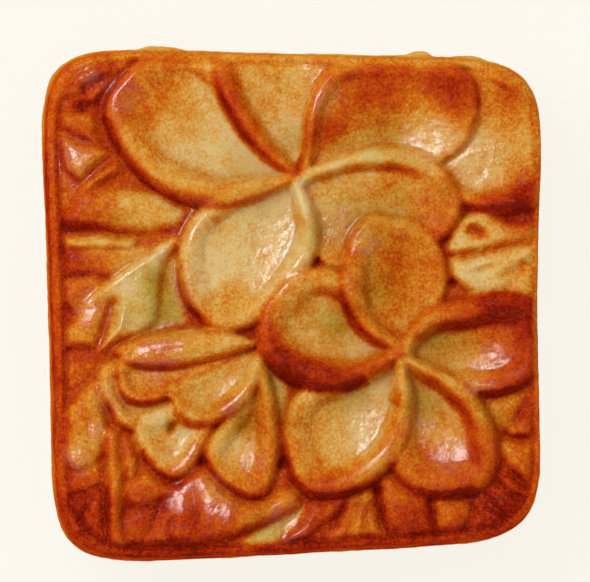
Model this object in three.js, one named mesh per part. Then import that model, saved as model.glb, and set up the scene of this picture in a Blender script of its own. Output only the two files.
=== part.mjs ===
import * as THREE from 'three';

// A square moulded mooncake: one solid with a flat underside, bulging side walls and a pressed
// pattern of three flowers over leaves on its top. Sizes are in millimetres and angles in degrees.

// Driving dimensions.
const wallHeight = 27.5;        // underside to the level the pattern stands on
const leafLevel = 2.3;          // the leaves' height over that level
const beadHeight = 2.5;         // the thin bead round the top's edge
const beadHalfWidth = 0.6;
const beadInset = 0.8;          // from the top's edge to the bead's middle
const edgeLevel = 1.2;          // the top's edge, outside the bead
const footInset = 2.2;          // the underside is this much smaller than the widest outline
const bellyHeight = 0.45;       // where the wall is widest, as a share of its height
const moatWidth = 1.6;          // the ground dips this close to a petal
const moatDepth = 0.5;
const lowestLeaf = 0.4;         // no groove reaches deeper than this
const frameInset = 0.4;         // the pattern starts this far inside the top's edge
const frameWidth = 1.6;         // and reaches its own height over this width
const crestShare = 0.5;         // a roll's crest, as a share of its width
const climbPower = 0.6;         // how steeply a petal's outline climbs to its crest
const petalCup = 1.2;           // how deep a petal's bowl is dished
const footPower = 3;            // how the wall curves in below and above its widest place
const shoulderPower = 2.2;
const cellsAcross = 60;
const wallLevels = [0.85, 0.5, 0.16, 0.04, 0];   // the wall's rings, as shares of its height
const softening = 0.35;         // half the width that the crust's height is averaged over

// The four straight sides of the widest outline: which way each faces, how far out it lies, how much
// it bows, and how far in from it the top's edge is.
const sides = [
  { facing: 88.7, out: 39.1, bow: -0.3, topInset: 0.6 },
  { facing: 0, out: 40.0, bow: -1.8, topInset: 0.3 },
  { facing: 273, out: 38.9, bow: 0, topInset: 0.8 },
  { facing: 181.7, out: 38.6, bow: -0.7, topInset: 1.2 },
];
const cornerPower = 7.5;        // how squarely the four sides meet
const sideReach = 38;           // half a side's length, over which the bow is spread
const meanRadius = 39;
const reachPasses = 4;          // rounds in which a bowed side's distance is worked out

// Lumps of crust that squeezed out low on the walls: which way, how wide, how far up and how proud.
const wallLumps = [
  { at: 107.5, spread: 3.2, height: 17, tall: 5, proud: 0.75 },
  { at: 63.5, spread: 1.8, height: 17, tall: 4, proud: 0.8 },
];

// A petal lies along its aim from the flower's centre. Its left-hand edge is the rolled rim, its
// right-hand edge is tucked under the next petal's roll. full says where along its length an edge
// is widest, tip how pointed it ends, and bend how far it curves to the left. roll and crest are the
// rim's width and top: at the centre, half-way out, at the tip, half-way back and at the centre.
// floor is the bowl's level by the tucked edge and by the roll, and rise what its far end gains.
// A stacked flower is seen from its side: its petals lie one on the other from the lowest up.
const flowers = [
  {
    centre: [-4.8, -6.6],
    stacked: true,
    petals: [
      { aim: -151, length: 23.5, rim: 1.5, tuck: 7.5, bend: -4, rimFull: 0.85, tuckFull: 0.8,
        tip: 0.35, roll: [0.6, 1, 1.6, 2.4, 0.6], crest: [1.5, 1.5, 2, 3, 2],
        floor: [2, 1.4], rise: 0.5 },
      { aim: -160, length: 27, rim: 7, tuck: 5.5, bend: 1, rimFull: 0.5, tuckFull: 0.85,
        tip: 0.6, roll: [0.6, 2.8, 2.6, 1, 0.6], crest: [1, 3, 2.6, 1.4, 1],
        floor: [0.8, 1.4], rise: 0.5 },
      { aim: -125, length: 26, rim: 2, tuck: 9.5, bend: 0.5, rimFull: 0.8, tuckFull: 0.8,
        tip: 0.85, roll: [0.6, 2.4, 3.2, 2.4, 0.6], crest: [1, 2.6, 2.6, 2.4, 1],
        floor: [1, 1.2], rise: 0.5 },
      { aim: -107, length: 24, rim: 5.5, tuck: 7.5, bend: 6.5, rimFull: 0.55, tuckFull: 0.8,
        tip: 0.85, roll: [0.8, 3.6, 2.6, 2.2, 0.6], crest: [3, 4.2, 3.2, 3, 1.2],
        floor: [1.2, 1.6], rise: 0.8 },
      { aim: -146, length: 17.5, rim: 7, tuck: 2.5, bend: -0.5, rimFull: 0.6, tuckFull: 0.85,
        tip: 0.4, roll: [0.8, 2.8, 2.2, 1, 0.6], crest: [3, 4, 3, 2, 1.2],
        floor: [1.6, 2.4], rise: 0.3 },
      { aim: -176, length: 24.5, rim: 3, tuck: 3.5, bend: -0.5, rimFull: 0.6, tuckFull: 0.45,
        tip: 0.9, roll: [0.8, 3.4, 2, 3.4, 0.8], crest: [3.4, 4.4, 2.6, 4.4, 3.4],
        floor: [4.2, 4.2], rise: 0 },
    ],
  },
  {
    centre: [0.9, 19.4],
    stacked: false,
    hub: { radius: 1.7, height: 3.9 },
    petals: [
      { aim: 162, length: 32, rim: 9.5, tuck: 14.5, bend: -1, rimFull: 0.5, tuckFull: 0.65,
        tip: 0.75, roll: [1.6, 5.2, 3.2, 2.4, 0.6], crest: [3.4, 4.7, 4, 3.3, 0],
        floor: [2.2, 2.5], rise: 0.9 },
      { aim: 115, length: 23.5, rim: 4.5, tuck: 12, bend: 4.5, rimFull: 0.45, tuckFull: 0.65,
        tip: 1, roll: [1.6, 4, 3.2, 1, 0.6], crest: [3.4, 4.5, 3.9, 0, 0], floor: [2, 2.2], rise: 0.9 },
      { aim: 52, length: 30, rim: 10, tuck: 13.5, bend: -11, rimFull: 0.6, tuckFull: 0.55,
        tip: 0.95, roll: [1.6, 4.6, 3, 2, 0.6], crest: [3.4, 4.3, 0, 0, 0],
        floor: [1.8, 2.4], rise: 1.5 },
      { aim: -34, length: 25.5, rim: 12, tuck: 8.5, bend: 7.5, rimFull: 0.5, tuckFull: 0.6,
        tip: 0.75, roll: [1.6, 3.6, 3, 2, 0.6], crest: [3.4, 4.4, 0, 0, 0],
        floor: [1.7, 2.5], rise: 1.4 },
      { aim: -144, length: 26, rim: 13, tuck: 8.5, bend: 8.5, rimFull: 0.4, tuckFull: 0.7,
        tip: 0.6, roll: [1.6, 4.4, 3, 2.6, 0.6], crest: [3.4, 4.4, 3.5, 3.6, 0],
        floor: [2.4, 2.5], rise: 0.5 },
    ],
  },
  {
    centre: [16.9, -7.7],
    stacked: false,
    hub: { radius: 1.9, height: 4.7 },
    petals: [
      { aim: 80, length: 21.5, rim: 10.5, tuck: 7, bend: 4.5, rimFull: 0.45, tuckFull: 0.65,
        tip: 0.5, roll: [1.6, 3.8, 3.4, 2.2, 0.6], crest: [4, 5.2, 4.8, 0, 0],
        floor: [2.6, 3.6], rise: 1.5 },
      { aim: 1, length: 21.5, rim: 8, tuck: 8.5, bend: 3.5, rimFull: 0.5, tuckFull: 0.7,
        tip: 0.45, roll: [1.6, 5, 2.8, 2.2, 0.6], crest: [4, 5.2, 4.2, 3.8, 0],
        floor: [2.2, 3], rise: 1 },
      { aim: -53, length: 25.5, rim: 6, tuck: 12, bend: -1, rimFull: 0.55, tuckFull: 0.6,
        tip: 0.9, roll: [1.6, 4, 3.4, 2.6, 0.6], crest: [4, 4.9, 3.9, 3.8, 0],
        floor: [2.1, 2.8], rise: 1.1 },
      { aim: -135, length: 27, rim: 10.5, tuck: 9, bend: 5, rimFull: 0.45, tuckFull: 0.65,
        tip: 0.95, roll: [1.6, 4.6, 3.8, 3, 0.6], crest: [4, 5, 3.9, 3.9, 0],
        floor: [2.6, 2.8], rise: 0.6 },
      { aim: 167, length: 23.5, rim: 8.5, tuck: 11, bend: 1.5, rimFull: 0.5, tuckFull: 0.6,
        tip: 0.7, roll: [1.6, 5, 3.8, 2.8, 0.6], crest: [4, 5.4, 4.6, 4.3, 0],
        floor: [2.6, 3.2], rise: 1 },
    ],
  },
];

// Grooves between the leaves and along their veins: ends, depth at each end and half width.
const grooves = [
  // upper left leaf
  { from: [-36, 30.5], to: [-29.5, 30], deep: [1.5, 0.9], half: 1.6 },
  { from: [-36, 26.5], to: [-29, 24], deep: [1.1, 0.8], half: 1.5 },
  { from: [-36, 24], to: [-33, 18], deep: [1.2, 0.9], half: 1.3 },
  { from: [-33.5, 15.5], to: [-26.5, 21.5], deep: [0.9, 1.7], half: 1.8 },
  // the stacked leaf on the left
  { from: [-36.5, 10.5], to: [-24.5, 9.5], deep: [1.9, 0.3], half: 1.8 },
  { from: [-36.5, 4], to: [-29.5, 4], deep: [1.7, 0.4], half: 1.8 },
  { from: [-35, -3], to: [-17.5, 10.5], deep: [0.6, 2], half: 1.4 },
  { from: [-30, -6], to: [-28.5, 0.5], deep: [1.2, 0.5], half: 1.6 },
  // hollow background and the lower left leaf
  { from: [-21.5, -4], to: [-18.5, 7], deep: [1.4, 1.6], half: 2.6 },
  { from: [-36.5, -8.5], to: [-29.5, -9], deep: [1.5, 1.7], half: 2.2 },
  { from: [-36.5, -27], to: [-29, -23], deep: [1.6, 1.3], half: 1.8 },
  { from: [-29, -18.5], to: [-28, -37.5], deep: [0.9, 1.3], half: 1.4 },
  { from: [-26, -19.5], to: [-25, -38], deep: [0.7, 1.4], half: 1.4 },
  // the bottom leaf and its veins
  { from: [-26.5, -33.5], to: [-20.5, -30.5], deep: [1.3, 0.6], half: 1.8 },
  { from: [-22, -35.5], to: [-18, -29], deep: [0.9, 0.8], half: 1.3 },
  { from: [-18.5, -37], to: [-16, -28.5], deep: [1.2, 0.4], half: 1.2 },
  { from: [-26.5, -38.5], to: [-6.5, -34.5], deep: [1.2, 1.9], half: 1.6 },
  { from: [-6.5, -34.5], to: [3, -30.5], deep: [1.9, 1.1], half: 1.6 },
  { from: [1, -37.5], to: [8.5, -31.5], deep: [1.4, 1.4], half: 1.8 },
  { from: [13, -28.5], to: [14.5, -37], deep: [1.2, 0.8], half: 1.2 },
  { from: [22.5, -37], to: [22, -30], deep: [1.4, 1.2], half: 1.1 },
  { from: [28, -30.5], to: [37, -34.5], deep: [1.5, 1.4], half: 1.6 },
  // the leaves on the right
  { from: [31.5, -21], to: [38, -21.5], deep: [1.2, 1.2], half: 1.2 },
  { from: [32.5, -25.5], to: [38, -29], deep: [1, 0.7], half: 1.3 },
  { from: [30, 14], to: [35, 11], deep: [1.4, 0.7], half: 1.5 },
  { from: [24.5, 6], to: [38, 9.5], deep: [0.7, 1], half: 1.2 },
  { from: [26.5, 14.5], to: [38.5, 14.5], deep: [1.3, 1.4], half: 1.2 },
];

// The smooth petal behind the upper right corner, with its rolled edge along the bottom.
const cornerRoll = { from: [24, 15.5], middle: [30, 16.5], to: [38, 19.5], half: 1.8, height: 1.5 };

function clamp01(value) {
  return Math.min(Math.max(value, 0), 1);
}

function smoothStep(value) {
  const t = clamp01(value);
  return t * t * (3 - 2 * t);
}

// Reads evenly spaced stations at a place from 0 to 1, with a soft blend between them.
function alongStations(stations, place) {
  const last = stations.length - 1;
  const scaled = clamp01(place) * last;
  const index = Math.min(Math.floor(scaled), last - 1);
  const share = smoothStep(scaled - index);
  return stations[index] * (1 - share) + stations[index + 1] * share;
}

// Distance from a point to an open line of points, and how far along it the nearest place is.
function nearestOnLine(line, x, y) {
  let best = { distance: Infinity, place: 0 };
  for (let i = 0; i + 1 < line.length; i += 1) {
    const [ax, ay] = line[i];
    const dx = line[i + 1][0] - ax;
    const dy = line[i + 1][1] - ay;
    const share = clamp01(((x - ax) * dx + (y - ay) * dy) / (dx * dx + dy * dy));
    const distance = Math.hypot(x - ax - share * dx, y - ay - share * dy);
    if (distance < best.distance) {
      best = { distance, place: (i + share) / (line.length - 1) };
    }
  }
  return best;
}

function isInside(outline, x, y) {
  let inside = false;
  for (let i = 0, j = outline.length - 1; i < outline.length; j = i, i += 1) {
    const [xi, yi] = outline[i];
    const [xj, yj] = outline[j];
    if ((yi > y) !== (yj > y) && x < ((xj - xi) * (y - yi)) / (yj - yi) + xi) {
      inside = !inside;
    }
  }
  return inside;
}

// One edge of a petal, from the flower's centre to the tip: a lobe that is widest at full.
function petalEdge(centre, petal, wide, full, toLeft) {
  const steps = 24;
  const tipPower = petal.tip;
  const basePower = (tipPower * full) / (1 - full);
  const aim = THREE.MathUtils.degToRad(petal.aim);
  const edge = [];
  for (let i = 0; i <= steps; i += 1) {
    const t = (1 - Math.cos((Math.PI * i) / steps)) / 2;
    const lobe = (t / full) ** basePower * ((1 - t) / (1 - full)) ** tipPower;
    const forward = petal.length * t;
    const left = toLeft * wide * lobe + petal.bend * t * t;
    edge.push([
      centre[0] + forward * Math.cos(aim) - left * Math.sin(aim),
      centre[1] + forward * Math.sin(aim) + left * Math.cos(aim),
    ]);
  }
  return edge;
}

function shapePetal(centre, petal) {
  const rimEdge = petalEdge(centre, petal, petal.rim, petal.rimFull, 1);
  const tuckEdge = petalEdge(centre, petal, petal.tuck, petal.tuckFull, -1);
  const outline = rimEdge.concat([...tuckEdge].reverse());
  return { ...petal, centre, rimEdge, tuckEdge, outline };
}

// Where a point lies in a petal: its distance from each edge, the station there on the roll and how
// much that edge counts, and its share of the way across the petal and of the way out to the tip.
function spotInPetal(petal, x, y) {
  const rim = nearestOnLine(petal.rimEdge, x, y);
  const tuck = nearestOnLine(petal.tuckEdge, x, y);
  const across = tuck.distance / Math.max(rim.distance + tuck.distance, Number.EPSILON);
  return {
    covered: isInside(petal.outline, x, y),
    across,
    outward: clamp01(Math.hypot(x - petal.centre[0], y - petal.centre[1]) / petal.length),
    gap: Math.min(rim.distance, tuck.distance),
    edges: [
      { distance: rim.distance, station: rim.place / 2, share: smoothStep(across) },
      { distance: tuck.distance, station: 1 - tuck.place / 2, share: smoothStep(1 - across) },
    ],
  };
}

// A roll follows each edge and falls to the bowl, and the outline climbs to it from what lies below.
function petalHeight(petal, spot, below) {
  const { across, outward, gap, edges } = spot;
  const [low, high] = petal.floor;
  const dish = petalCup * 4 * across * (1 - across);
  const bowl = low + (high - low) * smoothStep(across) + petal.rise * outward ** 2 - dish;
  let top = bowl;
  let climbWidth = 0;
  for (const { distance, station, share } of edges) {
    const width = alongStations(petal.roll, station);
    const crest = Math.max(alongStations(petal.crest, station), bowl);
    const past = clamp01((distance / width - crestShare) / (1 - crestShare));
    top = Math.max(top, bowl + (crest - bowl) * (1 + Math.cos(Math.PI * past)) / 2);
    climbWidth += share * crestShare * width;
  }
  const climb = (1 - (1 - clamp01(gap / climbWidth)) ** 2) ** climbPower;
  return below + (top - below) * climb;
}

// The ground dips next to a petal, so that its outline stands clear of it.
function moatAt(spots) {
  const gap = Math.min(...spots.map((spot) => (spot.covered ? 0 : spot.gap)));
  return moatDepth * smoothStep(1 - gap / moatWidth);
}

function stackedHeight(petals, x, y, height) {
  return petals.reduce((below, petal) => {
    const spot = spotInPetal(petal, x, y);
    const ground = below - moatAt([spot]);
    return spot.covered ? petalHeight(petal, spot, ground) : ground;
  }, height);
}

// Each petal's roll lies on the petal before it, all the way round the flower.
function openHeight({ petals, centre, hub }, x, y, height) {
  const spots = petals.map((petal) => spotInPetal(petal, x, y));
  const ground = height - moatAt(spots);
  const count = petals.length;
  const heights = petals.map((petal, i) => {
    const before = (i + count - 1) % count;
    const after = (i + 1) % count;
    if (!spots[i].covered || spots[after].covered) {
      return ground;
    }
    const under = spots[before].covered ? petalHeight(petals[before], spots[before], ground) : ground;
    return petalHeight(petal, spots[i], under);
  });
  const away = Math.hypot(x - centre[0], y - centre[1]) / hub.radius;
  const hubTop = away < 1 ? hub.height * Math.sqrt(1 - away * away) : 0;
  return Math.max(...heights, hubTop);
}

function leafHeight(x, y) {
  let height = leafLevel;
  for (const groove of grooves) {
    const near = nearestOnLine([groove.from, groove.to], x, y);
    height -= alongStations(groove.deep, near.place) * smoothStep(1 - near.distance / groove.half);
  }
  const { from, middle, to, half, height: rollHeight } = cornerRoll;
  const roll = nearestOnLine([from, middle, to], x, y).distance / half;
  height += roll < 1 ? rollHeight * Math.sqrt(1 - roll * roll) : 0;
  return Math.max(height, lowestLeaf);
}

// 1 on the outline, less inside it: four straight sides whose corners are rounded by the power.
function squareMeasure(x, y, insetOf) {
  let total = 0;
  for (const side of sides) {
    const facing = THREE.MathUtils.degToRad(side.facing);
    const forward = x * Math.cos(facing) + y * Math.sin(facing);
    const sideways = y * Math.cos(facing) - x * Math.sin(facing);
    const reach = side.out + side.bow * (1 - (sideways / sideReach) ** 2) - insetOf(side);
    total += Math.max(forward / reach, 0) ** cornerPower;
  }
  return total ** (1 / cornerPower);
}

// How many times a direction, given by its two components, goes into the outline.
function outlineReach(across, along, insetOf) {
  let reach = meanRadius;
  for (let pass = 0; pass < reachPasses; pass += 1) {
    reach /= squareMeasure(across * reach, along * reach, insetOf);
  }
  return reach;
}

const flowersInPlace = flowers.map((flower) => ({
  ...flower,
  petals: flower.petals.map((petal) => shapePetal(flower.centre, petal)),
}));

// Height of the pressed top over a point that lies edgeGap inside the top's edge.
function topHeight(x, y, edgeGap) {
  let height = leafHeight(x, y);
  for (const flower of flowersInPlace) {
    height = flower.stacked ? stackedHeight(flower.petals, x, y, height) : openHeight(flower, x, y, height);
  }
  const inFrame = smoothStep((edgeGap - frameInset) / frameWidth);
  const framed = height * inFrame + edgeLevel * (1 - inFrame);
  const bead = 1 - ((edgeGap - beadInset) / beadHalfWidth) ** 2;
  const beadTop = bead > 0 ? edgeLevel + (beadHeight - edgeLevel) * Math.sqrt(bead) : 0;
  return wallHeight + Math.max(framed, beadTop);
}

// The crust has no edge sharper than the softening.
function softTopHeight(x, y, edgeGap) {
  let total = 0;
  for (const dx of [-softening, softening]) {
    for (const dy of [-softening, softening]) {
      total += topHeight(x + dx, y + dy, edgeGap) / 4;
    }
  }
  return total;
}

// How far inside the widest outline the wall lies, from 0 at the underside to 1 at the top's edge.
function wallInset(up, topInset) {
  if (up < bellyHeight) {
    return footInset * (1 - up / bellyHeight) ** footPower;
  }
  return topInset * ((up - bellyHeight) / (1 - bellyHeight)) ** shoulderPower;
}

function lumpAt(x, y, z) {
  const bearing = THREE.MathUtils.radToDeg(Math.atan2(y, x));
  return wallLumps.reduce((sum, lump) => {
    const sideways = (bearing - lump.at) / lump.spread;
    const upward = (z - lump.height) / lump.tall;
    return sum + lump.proud * Math.exp(-sideways * sideways - upward * upward);
  }, 0);
}

// A flat sheet of square cells is draped over the pressed top, and its border is carried down the
// wall ring by ring to a flat underside.
function mooncakeGeometry() {
  const sheet = new THREE.PlaneGeometry(2, 2, cellsAcross, cellsAcross);
  const places = sheet.getAttribute('position');
  const rowLength = cellsAcross + 1;
  const vertices = [];
  const triangles = [];
  const topInset = (side) => side.topInset;
  for (let i = 0; i < places.count; i += 1) {
    const across = places.getX(i);
    const along = places.getY(i);
    const level = Math.max(Math.abs(across), Math.abs(along));
    const scale = level > 0 ? outlineReach(across / level, along / level, topInset) : 0;
    const x = across * scale;
    const y = along * scale;
    vertices.push(x, y, softTopHeight(x, y, (1 - level) * meanRadius));
  }

  // each cell is split along the diagonal whose ends are closest in height
  for (let row = 0; row < cellsAcross; row += 1) {
    for (let column = 0; column < cellsAcross; column += 1) {
      const a = row * rowLength + column;
      const [b, c, d] = [a + rowLength, a + rowLength + 1, a + 1];
      const height = (index) => vertices[3 * index + 2];
      if (Math.abs(height(a) - height(c)) < Math.abs(height(b) - height(d))) {
        triangles.push(a, b, c, a, c, d);
      } else {
        triangles.push(a, b, d, b, c, d);
      }
    }
  }

  // border vertices in order, anticlockwise from the sheet's lower left corner
  const border = [];
  for (let i = 0; i < cellsAcross; i += 1) {
    border.push(cellsAcross * rowLength + i);
  }
  for (let i = 0; i < cellsAcross; i += 1) {
    border.push((cellsAcross - i) * rowLength + cellsAcross);
  }
  for (let i = 0; i < cellsAcross; i += 1) {
    border.push(cellsAcross - i);
  }
  for (let i = 0; i < cellsAcross; i += 1) {
    border.push(i * rowLength);
  }

  let upperRing = border;
  for (const up of wallLevels) {
    const inset = (side) => wallInset(up, side.topInset);
    const z = up * (wallHeight + edgeLevel);
    const lowerRing = border.map((index) => {
      const across = places.getX(index);
      const along = places.getY(index);
      const reach = outlineReach(across, along, inset);
      const radius = reach * Math.hypot(across, along);
      const grown = 1 + lumpAt(across, along, z) / radius;
      vertices.push(across * reach * grown, along * reach * grown, z);
      return vertices.length / 3 - 1;
    });
    lowerRing.forEach((lower, i) => {
      const next = (i + 1) % lowerRing.length;
      triangles.push(upperRing[i], lower, lowerRing[next]);
      triangles.push(upperRing[i], lowerRing[next], upperRing[next]);
    });
    upperRing = lowerRing;
  }

  vertices.push(0, 0, 0);
  const middle = vertices.length / 3 - 1;
  upperRing.forEach((index, i) => {
    triangles.push(middle, upperRing[(i + 1) % upperRing.length], index);
  });

  const geometry = new THREE.BufferGeometry();
  geometry.setAttribute('position', new THREE.Float32BufferAttribute(vertices, 3));
  geometry.setIndex(triangles);
  return geometry;
}

function makeMooncake() {
  const geometry = mooncakeGeometry();
  geometry.computeBoundingBox();
  const box = geometry.boundingBox;
  geometry.translate(-(box.min.x + box.max.x) / 2, -(box.min.y + box.max.y) / 2, -box.min.z);
  geometry.computeVertexNormals();
  const bakedCrust = new THREE.MeshStandardMaterial({ color: 0xc8762a, roughness: 0.4, metalness: 0 });
  const mooncake = new THREE.Mesh(geometry, bakedCrust);
  mooncake.name = 'mooncake';
  return mooncake;
}

const model = new THREE.Group();
model.add(makeMooncake());

export default model;
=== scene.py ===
import math

import bpy
import numpy as np
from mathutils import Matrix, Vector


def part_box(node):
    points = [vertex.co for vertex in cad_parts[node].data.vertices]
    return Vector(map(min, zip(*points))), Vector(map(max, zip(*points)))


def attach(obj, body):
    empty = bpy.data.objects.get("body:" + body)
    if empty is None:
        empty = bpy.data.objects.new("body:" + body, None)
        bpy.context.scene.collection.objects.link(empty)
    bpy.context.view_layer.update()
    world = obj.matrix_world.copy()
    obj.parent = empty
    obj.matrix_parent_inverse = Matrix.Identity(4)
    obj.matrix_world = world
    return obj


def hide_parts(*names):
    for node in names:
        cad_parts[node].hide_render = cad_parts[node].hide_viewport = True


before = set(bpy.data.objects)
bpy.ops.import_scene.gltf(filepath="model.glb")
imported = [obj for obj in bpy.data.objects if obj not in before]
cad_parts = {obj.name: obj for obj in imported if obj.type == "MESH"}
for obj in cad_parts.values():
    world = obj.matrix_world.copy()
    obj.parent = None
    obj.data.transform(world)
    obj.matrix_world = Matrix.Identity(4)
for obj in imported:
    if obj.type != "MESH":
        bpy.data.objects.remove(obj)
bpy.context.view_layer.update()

mm = 0.001
tiny = 1e-6  # keeps a divisor off nought
print("frame loaded")


# small maths shared by the pressed top and the walls

def smoothStep(value, start=0, over=1):
    t = np.clip((value - start) / over, 0, 1)
    return t * t * (3 - 2 * t)


def alongStations(stations, place):
    # evenly spaced stations read at a place from 0 to 1, with a soft blend between them
    stations = np.asarray(stations, float)
    last = len(stations) - 1
    scaled = np.clip(place, 0, 1) * last
    index = np.clip(scaled.astype(int), 0, last - 1)
    share = smoothStep(scaled - index)
    return stations[index] * (1 - share) + stations[index + 1] * share


def nearestOnLine(line, x, y):
    # distance to an open line of points, and the share of the way along it where it is nearest
    line = np.asarray(line, float)
    steps = line[1:] - line[:-1]
    lengths = np.hypot(steps[:, 0], steps[:, 1])
    travelled = np.concatenate([[0], np.cumsum(lengths)])
    distance = np.full(x.shape, np.inf)
    place = np.zeros(x.shape)
    for (ax, ay), (sx, sy), length, start in zip(line, steps, lengths, travelled):
        share = np.clip(((x - ax) * sx + (y - ay) * sy) / length ** 2, 0, 1)
        gap = np.hypot(x - ax - share * sx, y - ay - share * sy)
        nearer = gap < distance
        distance = np.where(nearer, gap, distance)
        place = np.where(nearer, (start + share * length) / travelled[-1], place)
    return distance, place


def isInside(outline, x, y):
    inside = np.zeros(x.shape, bool)
    for (xi, yi), (xj, yj) in zip(outline, np.roll(outline, 1, axis=0)):
        if yi != yj:
            inside ^= ((yi > y) != (yj > y)) & (x < (xj - xi) * (y - yi) / (yj - yi) + xi)
    return inside


def depthInside(outline, x, y):
    # how far inside an outline each place is, and less than nought outside it
    gap = nearestOnLine(np.concatenate([outline, outline[:1]]), x, y)[0]
    return np.where(isInside(outline, x, y), gap, -gap)


def atPlaces(places, x, y, power=1):
    # soft round patches of a place, a radius and an amount each; more power gives a sharper edge
    return sum(amount * np.exp(-(((x - px) ** 2 + (y - py) ** 2) / radius ** 2) ** power)
               for (px, py), radius, amount in places)


def nearArea(x, y, points, margin):
    # the vertices close enough to a stroke or a petal to be touched by it
    low = np.min(points, axis=0) - margin
    high = np.max(points, axis=0) + margin
    return (x > low[0]) & (x < high[0]) & (y > low[1]) & (y < high[1])


# the cake's outline, in millimetres: which way each side faces, how far out it lies, how much it
# bows, how far in from it the pressed top begins, how wide the rim before the pattern is, and how
# dark the side is, from 0 for pale to 1 for dark: browning, with painted shade making the bottom
# side darkest
cake = {
    "cells": 270,
    "wallHeight": 27.5,
    "edgeLevel": 1.2,
    "sides": [
        dict(facing=88.7, out=39.1, bow=-0.3, topInset=0.6, rim=1.5, toast=0.38),
        dict(facing=0, out=40, bow=-1.8, topInset=0.2, rim=0.8, toast=0.44),
        # the bottom side's dark toast is partly painted shade
        dict(facing=273, out=39.1, bow=0, topInset=0.8, rim=1.4, toast=0.9),
        dict(facing=181.7, out=38.6, bow=-0.7, topInset=1.1, rim=1.9, toast=0.66),
    ],
    "cornerPower": 7.5,
    "sideReach": 38,
    "meanRadius": 39,
    # the wall is widest at the belly, a share of its height, and draws in to the foot and to the top
    "bellyHeight": 0.45, "footInset": 2.2, "footPower": 3, "topPower": 2.2,
    # how far each ring of the wall lies below the top's edge, and the underside's rings as shares
    "wallRings": [0.35, 0.8, 1.4, 2.2, 3.2, 4.6, 6.5, 9, 12, 15, 18, 21, 23.6, 25.6, 27.2, 28.2, 28.7],
    "underRings": [0.95, 0.8, 0.5, 0.2],
    # lumps of crust squeezed out on the walls: bearing, spread, height, tallness and how proud
    "lumps": [(117, 3.6, 17, 5, 0.75), (62.6, 2, 17, 4, 0.75), (54, 2.5, 17, 5, 0.45)],
    # the walls' share of their side's browning, more of it over a climb near the top, and the foot's
    "wallToast": {"share": 0.75, "more": 0.6, "moreFrom": 20, "climb": 7, "foot": 0.25, "footHeight": 5,
                  "most": 0.86},
}


def squareMeasure(x, y, insets):
    # 1 on the outline and less inside it: four sides whose corners are rounded by the power
    total = np.zeros(np.shape(x))
    for side, inset in zip(cake["sides"], insets):
        facing = math.radians(side["facing"])
        forward = x * math.cos(facing) + y * math.sin(facing)
        sideways = y * math.cos(facing) - x * math.sin(facing)
        reach = side["out"] + side["bow"] * (1 - (sideways / cake["sideReach"]) ** 2) - inset
        total = total + np.maximum(forward / reach, 0) ** cake["cornerPower"]
    return total ** (1 / cake["cornerPower"])


def ontoOutline(a, b, insets):
    # where places on the unit square go when its border becomes the outline
    border = np.maximum(np.maximum(np.abs(a), np.abs(b)), tiny)
    reach = np.full(a.shape, float(cake["meanRadius"]))
    for _ in range(3):
        reach = reach / np.maximum(squareMeasure(a / border * reach, b / border * reach, insets), tiny)
    return a * reach, b * reach


# Each petal lies along its aim from the flower's centre. Its left-hand edge is the rolled rim and its
# right-hand edge is tucked under the next petal's roll, each with its width and how far out it is
# widest. The rolls' widths, their crests' heights and where across a roll the crest lies are read from
# the centre along the rim to the tip, and back along the tucked edge. Near the centre a roll is a
# plump tube, and towards the tip it opens into a soft slope like a spoon's. Toast is the browning of
# the bowl near the centre and at the tip, and of the roll at both.
petalForm = {
    # the dip in the ground round each flower, and how the outline climbs out of it
    "moatDepth": 0.3, "moatWidth": 1, "edgeSteep": 0.55,
    # how blunt a tip is, how much higher than the bowl a roll is at least, and how full it is
    "blunt": 1.2, "leastRoll": 0.15, "plump": 2.6, "creaseLost": 0.6,
    # shares of the way out: where each of these begins and over how much more it grows
    "bluntFrom": (0.5, 0.35), "dishEnds": (0.45, 0.6), "creaseEnds": (0.55, 0.45),
    # how much painted shade darkens a roll's foot and the petal's edge, how far from the crest, in its own
    # widths, the roll's browning ends and the foot lies, and where along a petal both die out
    "footShade": 0.16, "edgeShade": 0.24, "edgeReach": 0.7, "rollEnd": 2.05, "rollBlend": 0.4,
    "footAt": 2, "footHalf": 0.18, "footFrom": 0.2, "toastEnds": 0.24,
}

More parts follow.
